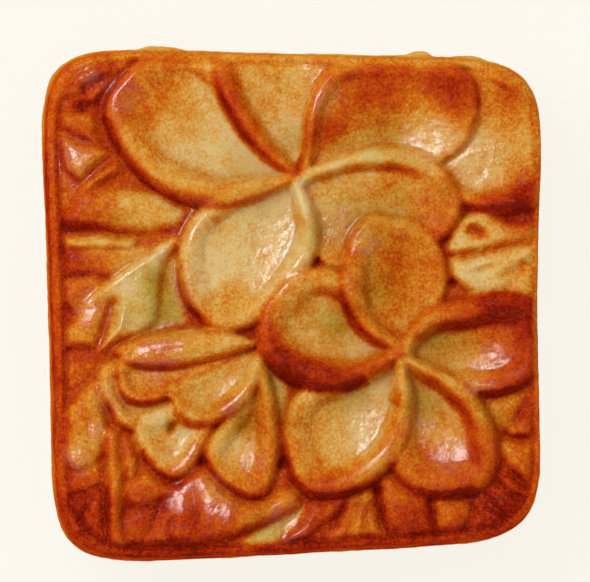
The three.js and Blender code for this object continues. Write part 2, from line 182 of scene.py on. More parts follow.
upperFlower = {"centre": (0.9, 19.4), "hub": (1.7, 3.9)}
upperFlower["petals"] = [
    dict(aim=161, length=32.5, rim=(10, 0.5), tuck=(14.5, 0.65), bend=-1, tip=0.85, blunt=0.7,
         rolls=[1.6, 4.2, 5.4, 5.4, 5, 5, 4, 1.2, 0.6],
         crests=[3.4, 4.4, 4.7, 4.5, 3.9, 3.6, 3.2, 0, 0], crestAt=(0.5, 0.5, 0.26, 0.3, 0.4),
         floor=(2.2, 2.5), rise=1.2, crease=1, cup=1.2, toast=(0.06, 0.5, 0.44, 0.28)),
    dict(aim=115, length=23.5, rim=(4.5, 0.45), tuck=(17.5, 0.65), bend=4.5, tip=1,
         rolls=[1.6, 3.2, 3.8, 3.8, 3.4, 1, 1, 1, 0.6],
         crests=[3.4, 4.4, 4.5, 4.3, 3.9, 0, 0, 0, 0], crestAt=(0.5, 0.5, 0.5, 0.5, 0.5),
         floor=(2, 2.2), rise=0.9, crease=1, cup=1.2, toast=(0.1, 0.4, 0.54, 0.68)),
    dict(aim=52, length=30, rim=(10, 0.6), tuck=(13.5, 0.55), bend=-11, tip=0.95,
         rolls=[1.6, 2.8, 3.4, 4, 4, 4, 3.4, 1.4, 0.6], crests=[3.4, 4.3, 4.1, 3.7, 0, 0, 0, 0, 0],
         crestAt=(0.5, 0.4, 0.3, 0.35, 0.4), floor=(2, 2.8), rise=1.5, crease=0.3, cup=1.1,
         toast=(0.22, 0.5, 0.4, 0.36)),
    dict(aim=-34, length=25.5, rim=(12, 0.5), tuck=(10.5, 0.45), bend=7.5, tip=0.75,
         rolls=[1.6, 3, 3.8, 4, 4.2, 4.2, 3, 1, 0.6], crests=[3.4, 4.3, 4.4, 3.9, 0, 0, 0, 0, 0],
         crestAt=(0.5, 0.5, 0.3, 0.3, 0.4), floor=(1.9, 2.6), rise=1.4, crease=1, cup=1,
         toast=(0.22, 0.6, 0.1, 0.4)),
    dict(aim=-144, length=26, rim=(13, 0.4), tuck=(8.5, 0.7), bend=8.5, tip=0.6,
         rolls=[1.6, 3.4, 4.4, 4.4, 4.4, 4.2, 3.6, 1.8, 0.6],
         crests=[3.4, 4.3, 4.4, 3.9, 3.6, 3.7, 3.6, 2.6, 0], crestAt=(0.5, 0.45, 0.34, 0.5, 0.5),
         floor=(2.3, 2.3), rise=0.9, crease=0.8, cup=1.3, toast=(0, 0.3, 0, 0.2)),
]

lowerFlower = {"centre": (16.9, -7.7), "hub": (1.9, 4.7)}
lowerFlower["petals"] = [
    dict(aim=80, length=21.5, rim=(10.5, 0.45), tuck=(7, 0.65), bend=4.5, tip=0.5,
         rolls=[1.6, 3.4, 4.4, 4.8, 4.6, 4.4, 3.4, 1.6, 0.6],
         crests=[4, 5.1, 5, 4.8, 4.5, 0, 0, 0, 0], crestAt=(0.5, 0.45, 0.3, 0.3, 0.4),
         floor=(2.6, 3.6), rise=1.4, crease=0.9, cup=1.1, toast=(0.36, 0.5, 0.38, 0.52)),
    dict(aim=1, length=22.6, rim=(8, 0.5), tuck=(8.5, 0.7), bend=3.5, tip=0.4,
         rolls=[1.6, 3.8, 5, 5, 4.4, 4.2, 3.6, 1.6, 0.6],
         crests=[4, 5, 5.2, 4.8, 4.2, 4, 3.8, 0, 0], crestAt=(0.5, 0.5, 0.27, 0.3, 0.4),
         floor=(2.3, 3), rise=1.2, crease=1, cup=1.3, toast=(0.24, 0.98, 0.28, 1.08)),
    dict(aim=-53, length=25.5, rim=(6, 0.55), tuck=(12, 0.6), bend=-1, tip=0.85,
         rolls=[1.6, 3.2, 4, 4.8, 5.6, 5.6, 4.6, 1.8, 0.6],
         crests=[4, 4.9, 4.9, 4.4, 4, 4, 3.8, 0, 0], crestAt=(0.5, 0.45, 0.3, 0.3, 0.4),
         floor=(2.2, 2.8), rise=1.2, crease=0.9, cup=1.4, toast=(0.22, 0.76, 0.3, 0.62)),
    dict(aim=-135, length=27, rim=(10.5, 0.45), tuck=(9, 0.65), bend=5, tip=0.85,
         rolls=[1.6, 3.6, 4.6, 5, 5, 4.8, 4.2, 2.2, 0.6],
         crests=[4, 5, 5, 4.5, 4, 3.9, 3.9, 2.6, 0], crestAt=(0.5, 0.45, 0.28, 0.3, 0.4),
         floor=(2.5, 2.7), rise=1, crease=0.9, cup=1.5, toast=(0.08, 0.6, 0.34, 0.52)),
    dict(aim=167, length=23.5, rim=(8.5, 0.5), tuck=(11, 0.6), bend=1.5, tip=0.7,
         rolls=[1.6, 3.8, 5.2, 5.6, 5.4, 4.8, 4, 1.8, 0.6],
         crests=[4, 5.2, 5.4, 5.1, 4.6, 4.4, 4.2, 2.4, 0], crestAt=(0.5, 0.5, 0.3, 0.3, 0.4),
         floor=(2.5, 3), rise=1.4, crease=0.95, cup=1.5, toast=(0.14, 0.5, 0.46, 1.1)),
]

# the flower seen from its side, whose petals lie one on the other from the lowest up
sideFlower = {"centre": (-4.8, -6.6), "stacked": True}
sideFlower["petals"] = [
    dict(aim=-156, length=26.3, rim=(5.4, 0.7), tuck=(7.5, 0.86), bend=0, tip=0.45,
         rolls=[0.6, 1.8, 2.8, 3.4, 3.8, 3.8, 3.4, 2.6, 0.6],
         crests=[1, 2.4, 3.2, 3.4, 3.4, 3.3, 3, 2.4, 1], crestAt=(0.5, 0.45, 0.45, 0.45, 0.5),
         floor=(1.3, 1.5), rise=0.2, crease=0.9, cup=0.3, toast=(0.1, 0.36, 0.18, 0.5)),
    dict(aim=-125, length=26, rim=(2, 0.8), tuck=(9.5, 0.8), bend=0.5, tip=0.85,
         rolls=[0.6, 1.6, 2.4, 3.2, 4, 4, 3, 1.4, 0.6],
         crests=[1, 1.6, 2.4, 2.7, 2.7, 2.7, 2.3, 1, 1], crestAt=(0.5, 0.45, 0.35, 0.35, 0.5),
         floor=(1.3, 1.5), rise=0.6, crease=0.4, cup=0.5, toast=(0, 0.26, 0.2, 0.48)),
    dict(aim=-107, length=24, rim=(5.5, 0.55), tuck=(7.5, 0.8), bend=6.5, tip=0.85,
         rolls=[0.8, 2.8, 3.8, 4, 3.8, 3.6, 3, 1.6, 0.6],
         crests=[3, 4, 4.1, 3.8, 3.3, 3.2, 3.2, 2.4, 1.2], crestAt=(0.5, 0.5, 0.35, 0.35, 0.5),
         floor=(1.6, 2), rise=0.8, crease=0.6, cup=0.8, toast=(0.24, 0.56, 0.26, 0.54)),
    dict(aim=-168, length=23.6, rim=(5.6, 0.78), tuck=(3, 0.8), bend=0, tip=0.45,
         rolls=[0.6, 1.2, 2, 2.6, 2.8, 2.6, 2, 1.2, 0.6],
         crests=[1, 2.4, 3.4, 3.8, 3.7, 3.6, 3, 2.4, 1.5], crestAt=(0.5, 0.45, 0.45, 0.45, 0.5),
         floor=(2, 2.4), rise=0, crease=0.9, cup=0.2, toast=(0.3, 0.36, 0.33, 0.66)),
    dict(aim=-146, length=17.5, rim=(7, 0.6), tuck=(2.5, 0.85), bend=-0.5, tip=0.4,
         rolls=[0.8, 2.6, 3.4, 3.6, 3.2, 2.4, 1.6, 1.2, 0.6],
         crests=[3, 3.8, 4, 3.7, 3.1, 2.6, 2.2, 1.6, 1.2], crestAt=(0.5, 0.45, 0.4, 0.4, 0.5),
         floor=(1.9, 2.8), rise=0.3, crease=0.6, cup=0.5, toast=(0.24, 0.38, 0.2, 0.54)),
    dict(aim=-176, length=24.5, rim=(3, 0.6), tuck=(3.5, 0.45), bend=-0.5, tip=0.9,
         rolls=[0.8, 3, 3.4, 3.2, 3, 3.2, 3.4, 3, 0.8],
         crests=[3.4, 4.2, 4.4, 3.8, 2.6, 3.8, 4.4, 4.2, 3.4], crestAt=(0.8, 0.8, 0.8, 0.8, 0.8),
         floor=(4.2, 4.2), rise=0, crease=0, cup=0, toast=(0.26, 0.42, 0.2, 0.46)),
]

# the smooth petal in the upper right corner, behind the upper flower, with its roll on its right
cornerPetal = {"centre": (23, 19.5), "stacked": True}
cornerPetal["petals"] = [
    dict(aim=12, length=19, rim=(7.5, 0.5), tuck=(16, 0.5), bend=2, tip=0.4, mirror=True,
         rolls=[0.6, 3, 3.8, 4, 3.6, 1, 1, 1, 0.6],
         crests=[2.6, 3.8, 4.1, 4.2, 3.8, 0, 0, 0, 0], crestAt=(0.55, 0.55, 0.55, 0.55, 0.6),
         floor=(2.2, 2.8), rise=0, crease=0.5, cup=0.9, toast=(0.18, 0.44, 0.36, 0.64)),
]

# The leaves between the flowers and the edge, pressed as plump lobes over a low ground: outline, how
# high its crown stands, how wide its rounded shoulder is, how browned its west and east ends are, and
# for some how steeply they lean, so that their tops look up and to the left.
leaves = {
    # the ground's level, the lowest that a fold may cut, and how the flats and the folds' sides run out
    "ground": 1.25, "lowest": 0.6, "flatBlend": 0.9, "foldPower": 1.5,
    # how browned the ground and the flats are, and how much painted shade darkens the pits, the lobes'
    # edges and the folds
    "groundToast": 0.66, "flatToast": 0.14, "pitShade": 0.4, "valleyShade": 0.3, "foldShade": 0.22,
}
leaves["lobes"] = [
    # the wrinkled tuft in the upper left corner
    ([(-35.5, 34.5), (-32.5, 37), (-28, 37.5), (-27.5, 35.5), (-30, 34), (-32.5, 32.5), (-35.5, 31.5)],
     2.7, 1.8, (0.54, 0.62)),
    ([(-27.5, 38), (-24.5, 38), (-25.5, 36.5), (-27, 35)], 2.6, 1, (0.45, 0.4)),
    ([(-31.5, 32.5), (-29.5, 34), (-27.5, 35), (-28.5, 33.5), (-30.5, 31), (-32.5, 31)], 2.5, 1.4,
     (0.6, 0.45)),
    ([(-36, 29.5), (-33.5, 29.5), (-30.5, 29.5), (-30, 24.5), (-33, 25.5), (-35.5, 27)], 2.5, 1.6,
     (0.5, 0.4)),
    ([(-36, 26), (-33, 25), (-28, 23.5), (-30, 21.5), (-33, 18.5), (-35, 20.5)], 2.9, 1.9, (0.5, 0.4),
     0.16),
    ([(-33.5, 16.5), (-32, 18.5), (-29.5, 20.5), (-27, 22), (-26, 20.5), (-28.5, 19), (-31, 17.5)], 3,
     1.2, (0.5, 0.6)),
    # the broad leaf on the left and the folds below it
    ([(-33.5, 16.5), (-31, 18), (-26, 17.5), (-21, 17), (-16, 14), (-18, 11.5), (-24, 10.5), (-35, 11),
      (-36, 13)], 3, 2.8, (0.74, 0.06)),
    ([(-35, 10.1), (-30, 10.5), (-24, 9.9), (-24.5, 8.2), (-30, 8.1), (-35, 8.3)], 3.2, 1.1, (0.3, 0.24)),
    ([(-35.5, 8.6), (-24.5, 8.6), (-21.5, 8.6), (-24, 6.5), (-27.5, 4), (-31, 4), (-35.5, 4)], 2.6, 2.4,
     (0.78, 0.24)),
    ([(-35, 3.5), (-30.5, 4), (-29, 3), (-32.5, 0), (-33.5, -2), (-35.5, 0)], 2.5, 1.6, (0.55, 0.42)),
    # the pale leaf that runs down to the side flower's tip
    ([(-17.5, 10.5), (-20.5, 9), (-24, 6.5), (-27.5, 4), (-32, 0.5), (-30, 0), (-27.5, 0), (-28.5, -4),
      (-30, -8), (-27, -6), (-23.5, -5), (-21, -3), (-20.5, 0), (-20.5, 3), (-19.5, 6.5), (-18, 9)], 3,
     2.4, (0.22, 0.06)),
    ([(-32, 1), (-30, 1), (-28, 0.5), (-29, -2.5), (-30.5, -7), (-33.5, -7), (-35.5, -7.5), (-35, -4),
      (-33.5, -2)], 2.7, 1.9, (0.45, 0.35), 0.14),
    ([(-35, -9), (-31, -9), (-30.5, -10), (-32.5, -12.5), (-35, -13.5)], 1.8, 0.8, (0.5, 0.62)),
    # the leaf with its stem in the lower left corner
    ([(-30, -11.5), (-29.5, -13.5), (-28.5, -19.5), (-29, -23), (-30.5, -25.5), (-33.5, -26.5),
      (-35.5, -24.5), (-35.5, -18), (-34.5, -16)], 3.2, 2.2, (0.4, 0.42)),
    ([(-29.5, -24.5), (-29, -28), (-32.5, -29.5), (-35.5, -30), (-36, -26.5), (-33.5, -26.5)], 2.2, 1.2,
     (0.72, 0.5)),
    ([(-31, -30), (-29, -28.5), (-28.5, -34.5), (-28, -38), (-31.5, -37), (-33, -34.5)], 2.5, 1.4,
     (0.6, 0.7)),
    ([(-36, -30), (-32.5, -30), (-31, -30), (-33, -34), (-32.5, -36), (-34.5, -35), (-36, -32.5)], 2.3,
     1.4, (0.72, 0.68)),
    ([(-28.9, -19.5), (-26.6, -19.5), (-26.2, -23.5), (-26, -29), (-26.2, -34.5), (-25.6, -38),
      (-28.4, -38), (-28.9, -29)], 4.2, 1.5, (0.56, 0.5)),
    ([(-26.3, -20), (-25.2, -20.5), (-23.8, -24.5), (-24, -27.2), (-26, -28)], 3.3, 1.5, (0.56, 0.5)),
    ([(-26.5, -29), (-25, -27.5), (-22.5, -26), (-20.5, -27.5), (-18, -29), (-21.5, -31.5), (-24, -32),
      (-25.6, -31.5)], 3.3, 1.9, (0.56, 0.42)),
    ([(-26.5, -32.5), (-24, -32), (-20.5, -31), (-21.5, -35), (-23.5, -37.5), (-26.5, -38)], 2.5, 1.6,
     (0.72, 0.7)),
    # the broad veined leaf along the bottom
    ([(-13.5, -25.5), (-16, -27), (-18, -29), (-20, -32), (-22, -35.5), (-24, -37.5), (-20, -37.5),
      (-14.5, -37.5), (-9.5, -36.5), (-4, -34.5), (1.5, -31.5), (1, -29), (-1.5, -28.5), (-4, -30.5),
      (-7.5, -31), (-10.5, -29)], 3.1, 2.4, (0.6, 0.45), 0.12),
    ([(2.5, -30.5), (9, -30), (7.5, -32.5), (5, -34.5), (2.5, -36.5), (-2, -37.5), (1.5, -34)], 2.7, 2,
     (0.66, 0.55)),
    ([(9, -30), (13, -28.5), (12.5, -31), (13.5, -34), (14.5, -36), (9, -36.5), (5, -37), (7.5, -34)],
     2.3, 1.3, (0.45, 0.4)),
    ([(14, -27.5), (15, -26.5), (17, -28), (21.5, -30), (21.5, -33), (22, -35.5), (18.5, -36), (15, -36),
      (13.5, -31.5)], 3.3, 3.4, (0.5, 0.66)),
    ([(22.5, -30.5), (25, -30.5), (27.5, -31), (28, -32.5), (26.5, -35.5), (22.5, -35.5)], 3, 2.4,
     (0.42, 0.5)),
    # the tufts in the lower right corner and up the right-hand side
    ([(28.5, -31), (31.5, -32), (34.5, -34.5), (31.5, -35.5), (27, -35.5), (28, -33)], 3, 2,
     (0.55, 0.65)),
    ([(30, -29), (32, -28), (33.5, -29.5), (36.5, -31), (35.5, -32.5), (34.5, -34), (31.5, -31.5)], 3.2,
     1.9, (0.66, 0.74)),
    ([(30.5, -15.5), (34.5, -14), (36, -14.5), (34, -19.5), (32.5, -20), (31, -18)], 2.3, 1.5,
     (0.28, 0.35)),
    ([(34, -19.5), (35.5, -17.5), (37.5, -15.5), (37.5, -19), (36.5, -21), (33, -21)], 2.6, 1.5,
     (0.35, 0.55)),
    ([(32.5, -21.5), (37.5, -21.5), (37.5, -26.5), (36, -28), (33, -25), (32.5, -23.5)], 2.8, 1.9,
     (0.28, 0.5)),
    ([(32, -26.5), (33, -25.5), (36, -28.5), (37.5, -29), (36.5, -30.5), (33.5, -29.5), (32, -28)], 3.1,
     1.7, (0.6, 0.7)),
    ([(24, 8), (25, 11), (26.5, 13), (29.5, 14.5), (34, 15), (37.5, 13), (37.5, 9.5), (32, 8), (25.5, 7)],
     2.9, 1.2, (0.1, 0.3)),
    ([(24.5, 7), (28.5, 7), (32, 8), (37.5, 9), (37.5, 6.5), (35.5, 5), (32.5, 1), (28.5, 1), (25, 3.5)],
     2.7, 1.6, (0.06, 0.2)),
    ([(32, 1), (35.5, 5), (38, 6.5), (38, -1), (35, 0)], 2.6, 1.5, (0.24, 0.36)),
]
# folds in the lobes: points, depths along it and half width
leaves["folds"] = [
    ([(-34, 33.5), (-31.5, 34), (-29.5, 35.5)], (0.9, 0.9, 0.5), 0.8),
    ([(-32.5, 36.5), (-31.5, 35)], (0.6, 0.7), 0.7), ([(27.5, 11.5), (29.5, 10.5)], (1.3, 1.2), 1.4),
    ([(31, 13.5), (33.5, 13), (36, 12.5)], (0.9, 1.5, 0.8), 1.4), ([(29, 5), (31, 5.5)], (1.2, 0.7), 0.8),
    ([(32.5, 4), (36, 6)], (0.9, 0.9), 0.9), ([(10.5, -30), (8.5, -36.5)], (0.7, 0.9), 0.7),
    ([(12, -31), (11, -36.5)], (0.7, 0.8), 0.6),
    ([(-15.3, -28.8), (-15, -31.5), (-14.7, -35)], (0.5, 1.1, 0.5), 1.7),
    ([(-18.5, -33.5), (-19, -37)], (0.7, 1), 0.7), ([(-14.5, -33), (-14.5, -36.5)], (0.4, 0.9), 0.5),
    ([(-8.5, -31.5), (-8.5, -34.5)], (0.8, 0.5), 0.6), ([(-34, -19.5), (-33.5, -24)], (0.5, 0.5), 0.6),
    ([(-31.5, -18), (-31, -23)], (0.5, 0.6), 0.7), ([(-26.5, 0), (-27.5, -3.5)], (0.4, 0.6), 0.9),
    ([(-35.5, 11.5), (-31, 11.6), (-27.5, 11)], (1.1, 1, 0.3), 1),
    ([(-29.2, -21), (-29.3, -30), (-28.7, -37.5)], (0.4, 0.5, 0.4), 0.8),
    ([(26, 7.4), (32.5, 8.6), (37.5, 10.2)], (0.9, 0.9, 0.7), 0.8),
    ([(13.6, -29), (13.8, -35.5)], (1, 0.8), 0.8), ([(21.5, -30), (22.5, -35.6)], (1, 0.8), 0.8),
    ([(32.8, -20.6), (37, -21.2)], (0.9, 0.8), 0.7), ([(28.3, -31.5), (33.5, -36)], (0.9, 0.8), 0.8),
    ([(31.5, -29.5), (35.5, -33)], (0.9, 0.7), 0.7), ([(33.5, -26.5), (36.8, -29)], (0.8, 0.7), 0.7),
    ([(2, -31.5), (-1.5, -35)], (0.7, 0.7), 0.8), ([(8.5, -31), (6, -36)], (0.8, 0.7), 0.7),
]
# raised ribs: points, heights along it and half width
leaves["ribs"] = [
    ([(-15, -30.5), (-14.8, -35.5)], (0.3, 0.6), 0.4),
    ([(25, 9.5), (28, 13), (31, 13.5)], (0.3, 0.5, 0.4), 0.7),
    ([(27, 8.6), (32, 10.4), (37, 12)], (0.3, 0.5, 0.4), 0.8), ([(27, 5.4), (31, 6.4)], (0.3, 0.4), 0.7),
    ([(33, 5.8), (36.5, 8)], (0.3, 0.4), 0.7),
    ([(-17.5, 9.5), (-23.5, 6), (-29, 2), (-32, 0)], (0.5, 0.6, 0.6, 0.4), 1.1),
    ([(-26, 0.5), (-26.5, -4), (-29.5, -7.5)], (0.3, 0.7, 0.5), 0.9),
    ([(-33, 16.5), (-30, 19.5), (-27, 22)], (0.6, 0.6, 0.5), 0.6),
    ([(-30.5, -12), (-32.5, -14), (-34.5, -16.5)], (0.5, 0.4, 0.3), 0.7),
    ([(-26, -29), (-23, -27)], (0.4, 0.5), 0.6), ([(-18, -29), (-20.5, -32.5)], (0.5, 0.5), 0.7),
]
# flat background between the leaves: outline and level
leaves["flats"] = [
    ([(-19.5, 6), (-17.5, 8), (-18, 3.5), (-16.5, -3), (-19.5, -3.5), (-22, -4.5), (-20.5, -1), (-20, 2)],
     0.85),
    ([(-8, -37.5), (-4.5, -35), (0, -32.5), (2.5, -31), (2, -32.5), (-1, -35.5), (-3.5, -38)], 1.5),
    ([(-4.5, -9), (-2.5, -10.5), (-0.5, -12.5), (-1, -16.5), (-1.5, -22), (-2.5, -15)], 1.5),
]
# pits where three shapes meet: place, depth and radius
leaves["pits"] = [
    ((3.9, 6.6), 1, 1), ((25, 3), 1, 1.1), ((13, -29), 1, 1.4), ((-18.6, -19.3), 1.6, 1.2),
    ((-13.9, -24.9), 1.4, 1.1), ((-1.5, -25), 1, 1.1), ((-32.5, 30.5), 0.5, 1.4),
]


def petalEdge(centre, petal, edge, toLeft):
    # one edge from the flower's centre to the tip: a lobe that is widest at full
    steps = 30
    wide, full = petal[edge]
    t = (1 - np.cos(np.linspace(0, math.pi, steps))) / 2
    basePower = petal["tip"] * full / (1 - full)
    lobe = (t / full) ** basePower * ((1 - t) / (1 - full)) ** petal["tip"]
    forward = petal["length"] * t
    left = toLeft * wide * lobe + petal["bend"] * t * t
    if petal.get("mirror"):
        left = -left
    aim = math.radians(petal["aim"])
    return np.stack([centre[0] + forward * math.cos(aim) - left * math.sin(aim),
                     centre[1] + forward * math.sin(aim) + left * math.cos(aim)], axis=1)


def petalGaps(centre, petal, x, y):
    # how far inside the petal each place is, with its tip rounded off, its distance from each edge,
    # its share of the way across, and of the way out to the tip
    rimEdge = petalEdge(centre, petal, "rim", 1)
    tuckEdge = petalEdge(centre, petal, "tuck", -1)
    inside = isInside(np.concatenate([rimEdge, tuckEdge[::-1]]), x, y)
    rimGap = nearestOnLine(rimEdge, x, y)[0]
    tuckGap = nearestOnLine(tuckEdge, x, y)[0]
    outward = np.clip(np.hypot(x - centre[0], y - centre[1]) / petal["length"], 0, 1)
    soft = petal.get("blunt", petalForm["blunt"]) * smoothStep(outward, *petalForm["bluntFrom"]) + 0.001
    least = np.minimum(rimGap, tuckGap)
    rounded = least - soft * np.log1p(np.exp(-np.abs(rimGap - tuckGap) / soft))
    return {"gap": np.where(inside, rounded, -least), "rim": rimGap, "tuck": tuckGap,
            "across": tuckGap / np.maximum(rimGap + tuckGap, tiny), "outward": outward}


def petalSurface(petal, gaps, below):
    # a roll follows each edge and falls to a crease beside the bowl, and the outline climbs to the
    # rolls from what lies below
    form = petalForm
    across, outward = gaps["across"], gaps["outward"]
    low, high = petal["floor"]
    dish = petal["cup"] * 4 * across * (1 - across) * (1 - smoothStep(outward, *form["dishEnds"]))
    bowl = low + (high - low) * smoothStep(across) + petal["rise"] * outward ** 2 - dish
    crease = petal["crease"] * (1 - form["creaseLost"] * smoothStep(outward, *form["creaseEnds"]))
    top = bowl
    climbWidth = 0
    crestWidths = []
    edges = ((gaps["rim"], outward / 2, smoothStep(across)),
             (gaps["tuck"], 1 - outward / 2, smoothStep(1 - across)))
    for edgeGap, place, share in edges:
        roll = alongStations(petal["rolls"], place)
        crestAt = alongStations(petal["crestAt"], place)
        crest = np.maximum(alongStations(petal["crests"], place), bowl + form["leastRoll"])
        down = np.clip((edgeGap / roll - crestAt) / (1 - crestAt), 0, 1)
        soft = 0.5 + 0.5 * np.cos(math.pi * down)
        plump = 1 - down ** form["plump"]
        top = np.maximum(top, bowl + (crest - bowl) * (soft * (1 - crease) + plump * crease))
        crestWidths.append(crestAt * roll)
        climbWidth = climbWidth + share * crestWidths[-1]
    climb = (1 - (1 - np.clip(gaps["gap"] / climbWidth, 0, 1)) ** 2) ** form["edgeSteep"]
    height = np.where(gaps["gap"] > 0, below + (top - below) * climb, -np.inf)
    # the far end catches the oven's heat and browns, the roll browns more and more along it, and
    # painted shade darkens the roll's foot and the petal's edge
    near, far, rollNear, rollFar = petal["toast"]
    toast = near + (far - near) * outward ** 2
    rolled = rollNear + (rollFar - rollNear) * outward
    fromCrest = gaps["rim"] / crestWidths[0]
    along = smoothStep(1 - outward, 0, form["toastEnds"])
    onRoll = smoothStep(form["rollEnd"] - fromCrest, 0, form["rollBlend"]) * along
    foot = np.exp(-((fromCrest - form["footAt"]) / form["footHalf"]) ** 2) * petal["crease"]
    foot = foot * along * smoothStep(outward, 0, form["footFrom"])
    edge = np.clip(1 - gaps["gap"] / form["edgeReach"], 0, 1)
    # painted shade at the roll's foot and along the petal's edge
    footAndEdgeShade = form["footShade"] * foot + form["edgeShade"] * edge
    return height, toast + (rolled - toast) * onRoll + footAndEdgeShade


def addFlower(flower, x, y, height, toast):
    centre = flower["centre"]
    petals = flower["petals"]
    stacked = flower.get("stacked")
    allGaps = [petalGaps(centre, petal, x, y) for petal in petals]
    groups = [[index] for index in range(len(petals))] if stacked else [range(len(petals))]
    for group in groups:
        # the ground dips round the petals, so that their outline stands clear of it
        deepest = np.max([allGaps[index]["gap"] for index in group], axis=0)
        moat = np.clip(1 + np.minimum(deepest, 0) / petalForm["moatWidth"], 0, 1) ** 2
        ground = height - petalForm["moatDepth"] * moat
        layers = {index: petalSurface(petals[index], allGaps[index], ground) for index in group}
        if not stacked:
            # each petal's roll lies on the petal before it, all the way round
            under = {index: np.where(allGaps[index - 1]["gap"] > 0, layers[(index - 1) % len(petals)][0],
                                     ground) for index in group}
            layers = {index: petalSurface(petals[index], allGaps[index], under[index]) for index in group}
        top = np.full(x.shape, -np.inf)
        for index, (petalTop, petalToast) in layers.items():
            covered = allGaps[(index + 1) % len(petals)]["gap"] > 0
            higher = petalTop > top if stacked else (petalTop > top) & ~covered
            top = np.where(higher, petalTop, top)
            toast = np.where(higher, petalToast, toast)
        height = np.where(np.isfinite(top), top, ground)
    if "hub" in flower:
        # the rolls run together in a small hub
        radius, hubHeight = flower["hub"]
        away = np.hypot(x - centre[0], y - centre[1]) / radius
        height = np.maximum(height, hubHeight * np.sqrt(np.clip(1 - away ** 2, 0, 1)))
    return height, toast


def pressLeaves(x, y):
    ground = leaves["ground"]
    height = np.full(x.shape, ground, float)
    toast = np.full(x.shape, leaves["groundToast"], float)
    for outline, level in leaves["flats"]:
        share = smoothStep(0.5 + depthInside(outline, x, y) / leaves["flatBlend"])
        height = height * (1 - share) + level * share
        toast = toast * (1 - share) + leaves["flatToast"] * share
    for outline, crown, shoulder, (west, east), *lean in leaves["lobes"]:
        outline = np.asarray(outline, float)
        near = nearArea(x, y, outline, 0)
        nearX, nearY = x[near], y[near]
        depth = depthInside(outline, nearX, nearY)
        dome = np.sqrt(1 - (1 - np.clip(depth / shoulder, 0, 1)) ** 2)
        tilt = sum(lean) * (nearX - outline[:, 0].mean() - nearY + outline[:, 1].mean()) / math.sqrt(2)
        pillow = np.where(depth > 0, ground + (crown + tilt - ground) * dome, -np.inf)
        eastward = (nearX - outline[:, 0].min()) / np.ptp(outline[:, 0])
        higher = pillow > height[near]
        height[near] = np.where(higher, pillow, height[near])
        # painted shade darkens the lobe towards its edge
        browned = west + (east - west) * smoothStep(eastward) + leaves["valleyShade"] * (1 - dome) ** 2
        toast[near] = np.where(higher, browned, toast[near])
    for points, heights, half in leaves["ribs"]:
        near = nearArea(x, y, points, half)
        gap, place = nearestOnLine(points, x[near], y[near])
        height[near] += alongStations(heights, place) * smoothStep(1 - gap / half)
    for points, depths, half in leaves["folds"]:
        near = nearArea(x, y, points, half)
        gap, place = nearestOnLine(points, x[near], y[near])
        share = alongStations(depths, place) * np.clip(1 - gap / half, 0, 1) ** leaves["foldPower"]
        height[near] -= share
        # painted shade darkens the fold
        toast[near] += leaves["foldShade"] * share
    return softened(np.maximum(height, leaves["lowest"]), blur["leaves"]), toast


# the mould's rim: a thin bead near the edge, with the pattern starting just inside it, all in shares
# of the rim's width on that side, heights in millimetres, and how much browning each adds, with
# painted shade in the groove and a painted highlight along the bead
frameRim = {
    "beadAt": 0.42, "beadHalf": 0.32, "beadHeight": 1.9, "beadFoot": 1.4, "beadHighlight": -0.16,
    "patternFrom": 0.3, "patternFull": 1.15, "highestAtRim": 2.6, "highestReach": 3,
    "grooveAt": 0.95, "grooveHalf": 0.3, "grooveDepth": 0.45, "grooveShade": 0.16,
    "toast": 0.1, "toastBlend": 0.5,
}
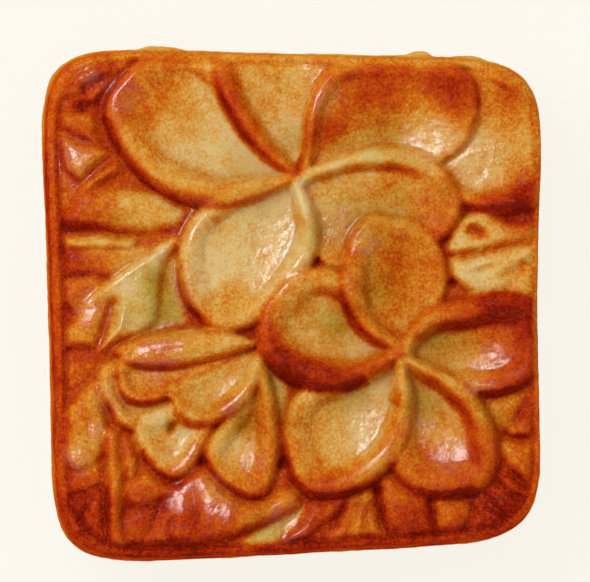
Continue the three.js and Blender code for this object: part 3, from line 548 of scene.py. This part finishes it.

# places painted browner or paler than the rest, mostly the oven's uneven browning and some painted shade
# under rolls and in bowls: place, radius and amount
browningAndShadePlaces = [
    ((-22, 35), 6, 0.1), ((-26, 30), 6, 0.16), ((-20, 25), 3, -0.12), ((-32.7, 23.8), 2.5, 0.1),
    ((-9, 24), 5, -0.06), ((6.2, 27.4), 2.6, 0.46), ((9.5, 32.5), 4, 0.3), ((14, 32.4), 4, 0.28),
    ((18.5, 35), 4, 0.16), ((4.6, 25), 2.2, 0.2), ((24, 34), 3.5, 0.24), ((25.5, 31), 3, 0.2),
    ((33.3, 32), 1.8, 0.22), ((21, 24.5), 4, -0.18), ((15, 29), 3, 0.06), ((34, 29), 7, 0.1),
    ((28, 24), 4, -0.1), ((35.5, 19), 2.5, 0.18), ((35.5, 16.3), 3, 0.24), ((31, 15.6), 2.2, 0.2),
    ((7, 20.6), 1.8, -0.24), ((12, 21.2), 2, -0.26), ((25.4, 13.7), 2, -0.12), ((12, 12), 2.5, -0.12),
    ((-5, 13.5), 3, -0.06), ((-20.3, 13.7), 2.5, 0.14), ((27.8, 11.5), 1.1, 0.35),
    ((29.4, 10.7), 1.1, 0.35), ((32, 13.6), 1.4, 0.3), ((34.2, 13), 1.7, 0.4), ((36.2, 12.3), 1.3, 0.3),
    ((-31.1, 9.1), 3, -0.2), ((29.2, 9.1), 2, -0.15), ((-33.5, 8), 3, 0.12), ((-14, 8.5), 2.2, -0.1),
    ((16, 13.4), 2.2, -0.25), ((15.8, 8), 3, 0.14), ((17, 4), 4.5, 0.15), ((5, 1.5), 3, 0.06),
    ((35, -1), 5, 0.1), ((-34.5, 0), 3, 0.12), ((9, -3), 2.5, 0.16), ((-16.5, -6), 6, 0.08),
    ((15.6, -13.4), 2.2, -0.15), ((24, -14), 3, -0.1), ((34.5, -17), 3, 0.08), ((11, -18), 4, -0.08),
    ((-8, -17.5), 2, 0.15), ((-8, -20), 3, -0.1), ((-10.2, -22.7), 2, -0.2), ((-16.5, -21), 3, -0.12),
    ((-19.5, -21.1), 2.4, 0.22), ((-33, -22), 3, -0.05), ((30.8, -22.7), 2, 0.1),
    ((34.7, -23.4), 2, 0.12), ((-18, -26.5), 2, 0.2), ((22, -27), 2, -0.12), ((37, -28), 4, 0.06),
    ((-19, -28.5), 4, 0.08), ((3, -28), 3, 0.1), ((-12, -29), 3, -0.14), ((-17, -30), 2, -0.12),
    ((-23.4, -30.4), 2.5, 0.12), ((-4, -32.5), 3, 0.06), ((-11, -33.5), 2.5, 0.12), ((8, -33), 4, 0.12),
    ((34.5, -33), 6, 0.16), ((17.5, -33.5), 3.5, 0.26), ((-30, -34), 9, 0.06), ((26, -36), 5, 0.2),
    ((-36, -37), 7, 0.12), ((-14, -37), 5, 0.15),
]

# painted shade in the deep parts of the bowls and beside the rolls, darker but no redder: place, radius,
# strength
paintedBowlShadePlaces = [
    ((14, 26.5), 4, 0.7), ((8, 25), 2, 0.5), ((0.5, 25.5), 2.2, 0.6), ((-8, 21.5), 3, 0.3),
    ((24, 17.5), 2, 0.5), ((16.5, 15.5), 3.5, 0.5), ((9.5, 14), 4, 0.6), ((-4.5, 15), 2.5, 0.4),
    ((4, 11), 3, 0.5), ((-27, 11.8), 3, 0.4), ((15.5, 8), 3, 0.3), ((13, 2.5), 4, 0.8),
    ((-21, 3.6), 3, 0.9), ((-19.5, -1.5), 3.5, 0.9), ((-26, -2), 2.5, 0.4), ((2, -2), 3, 0.3),
    ((7, -3.5), 2.8, 0.9), ((22.5, -6), 3.2, 0.9), ((27, -5.5), 2.5, 0.4), ((-2.5, -11.5), 3, 0.75),
    ((9.6, -13.6), 3, 0.7), ((20.6, -15.5), 3, 0.8), ((6, -16), 3, 0.3), ((-14.2, -16), 2.5, 0.4),
    ((-8, -18), 2.6, 0.9), ((-1.5, -18), 2.5, 0.5), ((32, -18), 2.5, 0.5), ((-18.6, -19.3), 1.6, 0.5),
    ((12, -31), 3, 0.4), ((-4.5, -34.5), 3, 0.7),
]

# where the egg wash pooled and dried to a wet-looking gloss: place and radius
washPools = [
    ((-31.6, 35.7), 1.6), ((3, 36), 2), ((-26.5, 32.6), 3), ((5, 31.5), 2.5), ((21, 24.8), 4),
    ((28.8, 22.2), 4), ((-33.7, 22), 3.5), ((-2.8, 12), 5), ((-14.6, 12), 3.5), ((7.1, 12.4), 3),
    ((11.2, 9.3), 2), ((-3, 6), 5), ((-21, 6), 2.5), ((-15.2, 3), 3.5), ((-25.4, 3.6), 2.5),
    ((-31, -0.5), 2.5), ((-27, -2.6), 2), ((-28.5, -6), 1.5), ((-20.8, -7), 4), ((31.3, -8.7), 2.4),
    ((28.2, -11.8), 2.6), ((-9, -14.4), 2.5), ((-28, -14.9), 2.5), ((11.2, -17), 3), ((19.8, -19.4), 2.4),
    ((-29.8, -20), 2), ((12, -22), 3.2), ((24.6, -23.2), 2.8), ((-17.2, -23.2), 3), ((-6.2, -24), 2.2),
    ((-33, -24), 2), ((-12.6, -28.6), 2.2), ((-16.8, -30), 2.2), ((-11, -31), 2.4), ((-0.7, -34), 3),
]
# how much of the wash stayed on the bare crust and on the rim
wash = {"onCrust": 0.06, "onRim": 0.4}


def ofSide(trait, x, y):
    # a trait of the side that a place lies nearest to, blended round the corners
    bearing = np.arctan2(y, x)
    shares = [np.maximum(np.cos(bearing - math.radians(side["facing"])), 0) ** 4 for side in cake["sides"]]
    return sum(share * side[trait] for share, side in zip(shares, cake["sides"])) / sum(shares)


def pressTop(x, y, edgeGap):
    height, toast = pressLeaves(x, y)
    for flower in (sideFlower, cornerPetal, upperFlower, lowerFlower):
        height, toast = addFlower(flower, x, y, height, toast)
    for (px, py), depth, radius in leaves["pits"]:
        share = smoothStep(1 - np.hypot(x - px, y - py) / radius)
        height = height - depth * share
        # painted shade darkens the pit
        toast = toast + leaves["pitShade"] * share
    rim = frameRim
    inward = edgeGap / ofSide("rim", x, y)
    inPattern = smoothStep(inward, rim["patternFrom"], rim["patternFull"] - rim["patternFrom"])
    ceiling = rim["highestAtRim"] + rim["highestReach"] * inPattern
    height = np.minimum(height, ceiling) * inPattern + rim["beadFoot"] * (1 - inPattern)
    away = (inward - rim["beadAt"]) / rim["beadHalf"]
    bead = rim["beadFoot"] + (rim["beadHeight"] - rim["beadFoot"]) * np.sqrt(np.clip(1 - away ** 2, 0, 1))
    height = np.where(np.abs(away) < 1, np.maximum(height, bead), height)
    groove = smoothStep(1 - np.abs(inward - rim["grooveAt"]) / rim["grooveHalf"])
    height = height - rim["grooveDepth"] * groove
    outside = smoothStep(1 - inward / (rim["beadAt"] - rim["beadHalf"]))
    # browning, with some painted shade under rolls and in bowls
    toast = toast + atPlaces(browningAndShadePlaces, x, y)
    onFrame = smoothStep(rim["patternFull"] - inward, 0, rim["toastBlend"])
    toast = toast * (1 - onFrame) + (ofSide("toast", x, y) + rim["toast"]) * onFrame
    # painted shade in the groove and a painted highlight along the bead
    toast = toast + rim["grooveShade"] * groove + rim["beadHighlight"] * smoothStep(1 - np.abs(away))
    return height + (cake["edgeLevel"] - rim["beadFoot"]) * outside, toast


# dough and browning have no sharp edges: how far each is blurred, in cells of the sheet
blur = {"leaves": 1, "pattern": 0.7, "slopes": 1, "toast": 1.2}


def softened(values, reach):
    # a gaussian blur over the sheet's own rows and columns
    count = cake["cells"] + 1
    grid = values.reshape(count, count)
    span = int(3 * reach) + 1
    weights = np.exp(-0.5 * (np.arange(-span, span + 1) / reach) ** 2)
    weights /= weights.sum()
    for axis in (0, 1):
        padded = np.pad(grid, [(span, span) if a == axis else (0, 0) for a in (0, 1)], mode="edge")
        grid = sum(w * np.take(padded, np.arange(count) + i, axis=axis) for i, w in enumerate(weights))
    return grid.reshape(-1)


def makeDoughBlank():
    # a flat sheet of square cells, two units across, whose border is drawn down one unit a ring and
    # then drawn in underneath, so that each ring's depth says which ring it is
    bpy.ops.object.select_all(action="DESELECT")
    bpy.ops.mesh.primitive_grid_add(x_subdivisions=cake["cells"], y_subdivisions=cake["cells"], size=2)
    blank = bpy.context.object
    blank.name = "bakedMooncake"
    bpy.ops.object.mode_set(mode="EDIT")
    bpy.ops.mesh.select_mode(type="EDGE")
    bpy.ops.mesh.select_all(action="SELECT")
    bpy.ops.mesh.region_to_loop()
    for _ in cake["wallRings"]:
        bpy.ops.mesh.extrude_edges_move(TRANSFORM_OT_translate={"value": (0, 0, -1)})
    share = 1
    for underRing in cake["underRings"]:
        bpy.ops.mesh.extrude_edges_move(TRANSFORM_OT_translate={"value": (0, 0, -1)})
        bpy.ops.transform.resize(value=(underRing / share, underRing / share, 1), center_override=(0, 0, 0))
        share = underRing
    bpy.ops.mesh.extrude_edges_move(TRANSFORM_OT_translate={"value": (0, 0, -1)})
    bpy.ops.mesh.merge(type="CENTER")
    bpy.ops.mesh.select_all(action="SELECT")
    bpy.ops.mesh.normals_make_consistent(inside=False)
    bpy.ops.object.mode_set(mode="OBJECT")
    return blank


def wallInset(up, topInset):
    belly = cake["bellyHeight"]
    below = cake["footInset"] * np.clip(1 - up / belly, 0, 1) ** cake["footPower"]
    above = topInset * np.clip((up - belly) / (1 - belly), 0, 1) ** cake["topPower"]
    return np.where(up < belly, below, above)


# slopes that face one way in the plan (a direction) are painted darker and redder, partly browning and
# partly painted shade on the sides turned from the lamps, but less within a reach in millimetres of the
# middles of the flowers
shadedSlopes = {"from": (-0.4, -0.9), "least": 0.15, "steep": 0.8, "share": 1.55, "amount": 0.42, "most": 0.95,
        "hubReach": 6, "hubSpared": 0.5}
# how deep a place lies below its surroundings, weighed over these reaches in cells
hollowReaches = ((2, 0.6), (4, 0.4), (10, 0.5))
# what the mesh tells the crust at each place: its browning, how deep it lies, egg wash, and painted shade
# in the deep bowls
crustTraits = ("toast", "hollow", "washed", "paintedBowlShade")


def slopeShadeAndToast(height):
    # painted shade and browning: darker on the slopes that face lower left
    rows = softened(height, blur["slopes"]).reshape(cake["cells"] + 1, -1)
    climbY, climbX = np.gradient(rows, 2 * cake["meanRadius"] / cake["cells"])
    facing = -(climbX * shadedSlopes["from"][0] + climbY * shadedSlopes["from"][1])
    steepness = shadedSlopes["steep"] + np.hypot(climbX, climbY)
    share = smoothStep(shadedSlopes["share"] * (facing - shadedSlopes["least"]) / steepness)
    return shadedSlopes["amount"] * share.reshape(-1)


def placesOf(piece):
    flat = np.empty(len(piece.data.vertices) * 3)
    piece.data.vertices.foreach_get("co", flat)
    return flat.reshape(-1, 3)


def pressInMould(blank):
    # the top takes the pattern, the rings take the wall's outline at their own height
    a, b, depth = placesOf(blank).T
    ring = np.rint(-depth).astype(int)
    shaped = np.empty((len(a), 3))
    toast, hollow, washed, paintedBowlShade = np.zeros((len(crustTraits), len(a)))

    top = np.flatnonzero(ring == 0)
    top = top[np.lexsort((a[top].round(6), b[top].round(6)))]
    level = np.maximum(np.abs(a[top]), np.abs(b[top]))
    x, y = ontoOutline(a[top], b[top], [side["topInset"] for side in cake["sides"]])
    edgeGap = (1 - level) * cake["meanRadius"]
    height, topToast = pressTop(x, y, edgeGap)
    height = softened(height, blur["pattern"])
    shaped[top] = np.stack([x, y, cake["wallHeight"] + height], axis=1)
    onPattern = smoothStep(edgeGap, 1)
    hubs = atPlaces([(flower["centre"], shadedSlopes["hubReach"], shadedSlopes["hubSpared"])
                     for flower in (upperFlower, lowerFlower, sideFlower)], x, y)
    # painted shade and browning on the slopes that face lower left, spared near the flowers' middles
    slopeShadeAndBrowning = slopeShadeAndToast(height) * onPattern * (1 - hubs)
    toast[top] = np.minimum(softened(topToast, blur["toast"]) + slopeShadeAndBrowning, shadedSlopes["most"])
    pools = np.minimum(atPlaces([(place, radius, 1) for place, radius in washPools], x, y, 2), 1)
    washed[top] = wash["onCrust"] + (1 - wash["onCrust"]) * pools
    washed[top] *= wash["onRim"] + (1 - wash["onRim"]) * onPattern
    # painted shade in the deep parts of the bowls, on the pattern only
    paintedBowlShade[top] = np.minimum(atPlaces(paintedBowlShadePlaces, x, y), 1) * onPattern
    hollow[top] = sum(share * (softened(height, cells) - height) for cells, share in hollowReaches)
    print("top pressed")

    topEdge = cake["wallHeight"] + cake["edgeLevel"]
    wallRings = cake["wallRings"]
    wall = cake["wallToast"]
    for index in range(1, ring.max() + 1):
        here = np.flatnonzero(ring == index)
        z = topEdge - wallRings[min(index, len(wallRings)) - 1]
        insets = [wallInset(z / topEdge, side["topInset"]) for side in cake["sides"]]
        shaped[here] = np.stack([*ontoOutline(a[here], b[here], insets), np.full(len(here), z)], axis=1)
        browned = ofSide("toast", shaped[here, 0], shaped[here, 1]) * (
            wall["share"] + wall["more"] * smoothStep(z, wall["moreFrom"], wall["climb"]))
        browned = browned + wall["foot"] * smoothStep(1 - z / wall["footHeight"])
        toast[here] = np.minimum(browned, wall["most"])
    bearing = np.degrees(np.arctan2(shaped[:, 1], shaped[:, 0]))
    for at, spread, lumpHeight, tall, proud in cake["lumps"]:
        swell = np.exp(-((bearing - at) / spread) ** 4 - ((shaped[:, 2] - lumpHeight) / tall) ** 2)
        radius = np.maximum(np.hypot(shaped[:, 0], shaped[:, 1]), 1)
        grow = np.where(ring > 0, 1 + proud * swell / radius, 1)
        shaped[:, :2] *= grow[:, None]

    low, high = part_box("mooncake")
    shift = np.array([low.x + high.x, low.y + high.y, 0]) / 2 - np.append(
        (shaped[:, :2].min(0) + shaped[:, :2].max(0)) / 2 * mm, 0)
    blank.data.vertices.foreach_set("co", (shaped * mm + shift).reshape(-1))
    for name, values in zip(crustTraits, (toast, hollow, washed, paintedBowlShade)):
        attribute = blank.data.attributes.new(name=name, type="FLOAT", domain="POINT")
        attribute.data.foreach_set("value", values)
    blank.data.update()


# uneven swelling in the oven: a broad one and a finer pebbling, sizes in millimetres
unevenness = {"swell": (7, 0.35), "pebbling": (1.4, 0.16)}
trayContact = 0.3  # what lies lower than this is flat on the tray


def makeUneven(piece):
    for name, (size, depth) in unevenness.items():
        clouds = bpy.data.textures.new(name, type="CLOUDS")
        clouds.noise_scale = size * mm
        clouds.noise_depth = 1
        bpy.ops.object.modifier_add(type="DISPLACE")
        modifier = piece.modifiers[-1]
        modifier.texture = clouds
        modifier.texture_coords = "LOCAL"
        modifier.strength = depth * mm
        modifier.mid_level = 0.5
        bpy.ops.object.modifier_apply(modifier=modifier.name)
    places = placesOf(piece)
    places[places[:, 2] < trayContact * mm, 2] = 0
    piece.data.vertices.foreach_set("co", places.reshape(-1))
    piece.data.update()


def toLinear(hexColour):
    parts = [int(hexColour[i:i + 2], 16) / 255 for i in (1, 3, 5)]
    return tuple(c / 12.92 if c <= 0.04045 else ((c + 0.055) / 1.055) ** 2.4 for c in parts) + (1,)


def addNode(tree, kind, settings, inputs):
    node = tree.nodes.new(kind)
    for name, value in settings.items():
        setattr(node, name, value)
    for key, value in inputs.items():
        if isinstance(value, bpy.types.NodeSocket):
            tree.links.new(value, node.inputs[key])
        else:
            node.inputs[key].default_value = value
    return node


# Egg-washed wheat pastry, pressed in a mould and baked: pale gold where it stayed cool, through
# orange to a deep red-brown where it caught the heat, a little light sinking in, all under a thin
# glaze that pooled and dried unevenly, with painted shade darkening its creases and deep bowls.
# Sizes, bump depths and the light's reach are in millimetres; toast is how far a noise moves the
# browning, and pairs are from and to.
crust = {
    "ramp": [(0, "#E8C988"), (0.2, "#E4AE54"), (0.38, "#DE8C24"), (0.52, "#D46812"),
             (0.66, "#C84C0E"), (0.78, "#B8370B"), (0.89, "#A22508"), (1, "#801605")],
    # each noise's size, detail and roughness
    "noises": {"patch": (7, 3, 0.6), "mottle": (1.8, 4, 0.6), "grain": (0.45, 3, 0.6),
               "blister": (1, 4, 0.58)},
    # what counts as no browning in the patch, the mottle, the grain and the cracks
    "middles": (0.53, 0.52, 0.5, 0), "patchToast": 0.56, "mottleToast": 0.46,
    "grainHollow": (-1.2, 0.1), "grainToast": (0.4, 0.62),
    "crackSize": 1.5, "crackHalf": 0.12, "crackToast": 0.1,
    # painted shade in the creases: its colour, over which depths it grows, and how strong it is
    "creaseShadeColour": "#BC6422", "creaseHollow": (0.2, 1.8), "creaseShade": 0.42,
    "paintedBowlShadeColour": "#D2D684",  # painted shade in the deep bowls turns them darker but no redder
    "roughness": (0.3, 0.55), "roughMottle": (0.35, 0.65),
    "bump": 0.28, "grainShare": 0.5, "glazeBump": 0.16,
    "thinGlaze": 0.2, "glazeMottle": (0.4, 0.55), "coatRoughness": 0.13, "coatIor": 1.9,
    "lightShare": 0.42, "lightReach": (2.2, 0.8, 0.3),
}


def makeCrustMaterial():
    material = bpy.data.materials.new("eggWashedBakedCrust")
    material.use_nodes = True
    tree = material.node_tree
    tree.nodes.clear()
    place = addNode(tree, "ShaderNodeTexCoord", {}, {}).outputs["Object"]
    toast, hollow, washed, paintedBowlShade = [
        addNode(tree, "ShaderNodeAttribute", {"attribute_name": name}, {}).outputs["Fac"]
        for name in crustTraits]
    noises = {name: addNode(tree, "ShaderNodeTexNoise", {}, {
        "Vector": place, "Scale": 1 / (size * mm), "Detail": detail, "Roughness": rough}).outputs["Fac"]
        for name, (size, detail, rough) in crust["noises"].items()}
    # hairline cracks where the crust set
    web = addNode(tree, "ShaderNodeTexVoronoi", {"feature": "DISTANCE_TO_EDGE"},
                  {"Vector": place, "Scale": 1 / (crust["crackSize"] * mm)})
    ranges = {
        "crack": (web.outputs["Distance"], (0, crust["crackHalf"]), (1, 0)),
        # the grain is fainter on the smooth crests
        "grain": (hollow, crust["grainHollow"], crust["grainToast"]),
        # painted shade darkens the creases
        "shade": (hollow, crust["creaseHollow"], (0, crust["creaseShade"])),
        "roughness": (noises["mottle"], crust["roughMottle"], crust["roughness"]),
        # the glaze is thin where the mottle is low, so its shine is broken up
        "glaze": (noises["mottle"], crust["glazeMottle"], (crust["thinGlaze"], 1)),
    }
    for name, (value, (fromMin, fromMax), (toMin, toMax)) in ranges.items():
        ranges[name] = addNode(tree, "ShaderNodeMapRange", {}, {
            "Value": value, "From Min": fromMin, "From Max": fromMax,
            "To Min": toMin, "To Max": toMax}).outputs["Result"]
    crack, coat = [addNode(tree, "ShaderNodeMath", {"operation": "MULTIPLY"}, {0: one, 1: other}).outputs[0]
                   for one, other in ((ranges["crack"], noises["patch"]), (washed, ranges["glaze"]))]
    browning = toast
    sources = ((noises["patch"], crust["patchToast"]), (noises["mottle"], crust["mottleToast"]),
               (noises["grain"], ranges["grain"]), (crack, crust["crackToast"]))
    for (source, amount), middle in zip(sources, crust["middles"]):
        centred = addNode(tree, "ShaderNodeMath", {"operation": "SUBTRACT"}, {0: source, 1: middle})
        browning = addNode(tree, "ShaderNodeMath", {"operation": "MULTIPLY_ADD"},
                           {0: centred.outputs[0], 1: amount, 2: browning}).outputs[0]
    ramp = addNode(tree, "ShaderNodeValToRGB", {}, {"Fac": browning})
    elements = ramp.color_ramp.elements
    while len(elements) < len(crust["ramp"]):
        elements.new(0.5)
    for element, (position, colour) in zip(elements, crust["ramp"]):
        element.position = position
        element.color = toLinear(colour)
    colour = ramp.outputs["Color"]
    # painted shade in the creases and in the deep bowls darkens the colour
    for share, tint in ((ranges["shade"], "creaseShadeColour"), (paintedBowlShade, "paintedBowlShadeColour")):
        colour = addNode(tree, "ShaderNodeMix", {"data_type": "RGBA", "blend_type": "MULTIPLY"},
                         {0: share, 6: colour, 7: toLinear(crust[tint])}).outputs[2]
    rough = addNode(tree, "ShaderNodeMath", {"operation": "MULTIPLY_ADD"},
                    {0: noises["grain"], 1: crust["grainShare"], 2: noises["mottle"]})
    bump, glazeBump = [
        addNode(tree, "ShaderNodeBump", {}, {"Height": height, "Strength": 1, "Distance": depth * mm})
        for height, depth in ((rough.outputs[0], crust["bump"]), (noises["blister"], crust["glazeBump"]))]
    shader = addNode(tree, "ShaderNodeBsdfPrincipled", {}, {
        "Base Color": colour, "Roughness": ranges["roughness"],
        "Normal": bump.outputs["Normal"], "IOR": 1.45, "Specular IOR Level": 0,
        "Subsurface Weight": crust["lightShare"], "Subsurface Scale": 1,
        "Subsurface Radius": [reach * mm for reach in crust["lightReach"]],
        "Coat Weight": coat, "Coat Roughness": crust["coatRoughness"],
        "Coat IOR": crust["coatIor"], "Coat Normal": glazeBump.outputs["Normal"]})
    addNode(tree, "ShaderNodeOutputMaterial", {}, {"Surface": shader.outputs["BSDF"]})
    return material


def makeMooncake():
    blank = makeDoughBlank()
    print("dough blank made")
    pressInMould(blank)
    makeUneven(blank)
    bpy.ops.object.shade_smooth()
    blank.data.materials.append(makeCrustMaterial())
    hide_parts("mooncake")
    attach(blank, "root")
    print("mooncake baked,", len(blank.data.polygons), "faces")


# the camera looks straight down, its top edge towards +Y; distances in metres, and the cake's middle
# in pixels from the top left
view = {
    "imageWidth": 590,
    "imageHeight": 582,
    "cakeMiddle": (291, 303.5),
    "pixelSize": 0.15476 * mm,
    "distance": 2.4,
    "focusHeight": 0.029,
    "sensorWidth": 36,
    "clip": (0.05, 20),
}


def makeCamera():
    data = bpy.data.cameras.new("camera")
    camera = bpy.data.objects.new("camera", data)
    bpy.context.scene.collection.objects.link(camera)
    middleX = (view["imageWidth"] / 2 - view["cakeMiddle"][0]) * view["pixelSize"]
    middleY = (view["cakeMiddle"][1] - view["imageHeight"] / 2) * view["pixelSize"]
    camera.location = (middleX, middleY, view["focusHeight"] + view["distance"])
    data.sensor_width = view["sensorWidth"]
    data.lens = view["sensorWidth"] * view["distance"] / (view["imageWidth"] * view["pixelSize"])
    data.clip_start, data.clip_end = view["clip"]
    bpy.context.scene.camera = camera


# soft boxes, all aimed at the cake: where each stands and its size, in metres, and its power
lamps = {
    "mainLamp": {"at": (-0.4, 0.36, 1), "size": 0.56, "watts": 7.5},
    "topLamp": {"at": (0.2, 1.2, 0.75), "size": 1.5, "watts": 2.5},
    "rightLamp": {"at": (1.2, -0.1, 0.75), "size": 1.5, "watts": 2.1},
    "leftLamp": {"at": (-1.2, -0.1, 0.75), "size": 1.5, "watts": 2},
    "lowLamp": {"at": (0, -1.2, 0.75), "size": 1.5, "watts": 3.5},
}
# the floor is pale paper: dark itself, so that it throws no light up, and made pale by its own glow.
# It lies a hair below the cake, so that the two never share a face.
room = {"light": "#FFFFFF", "strength": 0.23, "floor": "#4E4D4A", "floorSize": 6, "floorDrop": 0.1,
        "floorRoughness": 0.9, "glow": "#FBF8EE", "glowStrength": 0.92}


def makeStage():
    for name, lamp in lamps.items():
        data = bpy.data.lights.new(name, type="AREA")
        data.shape = "SQUARE"
        data.size = lamp["size"]
        data.energy = lamp["watts"]
        light = bpy.data.objects.new(name, data)
        bpy.context.scene.collection.objects.link(light)
        light.location = lamp["at"]
        light.rotation_euler = (-light.location).to_track_quat("-Z", "Y").to_euler()
    world = bpy.data.worlds.new("room")
    world.use_nodes = True
    background = world.node_tree.nodes["Background"]
    background.inputs["Color"].default_value = toLinear(room["light"])
    background.inputs["Strength"].default_value = room["strength"]
    bpy.context.scene.world = world
    bpy.ops.object.select_all(action="DESELECT")
    bpy.ops.mesh.primitive_plane_add(size=room["floorSize"], location=(0, 0, -room["floorDrop"] * mm))
    floor = bpy.context.object
    floor.name = "paleFloor"
    paper = bpy.data.materials.new("paleMattPaper")
    paper.use_nodes = True
    shader = paper.node_tree.nodes["Principled BSDF"]
    shader.inputs["Base Color"].default_value = toLinear(room["floor"])
    shader.inputs["Roughness"].default_value = room["floorRoughness"]
    shader.inputs["Emission Color"].default_value = toLinear(room["glow"])
    shader.inputs["Emission Strength"].default_value = room["glowStrength"]
    floor.data.materials.append(paper)
    bpy.context.scene.view_settings.view_transform = "Standard"


makeMooncake()
makeCamera()
makeStage()
print("stage set")
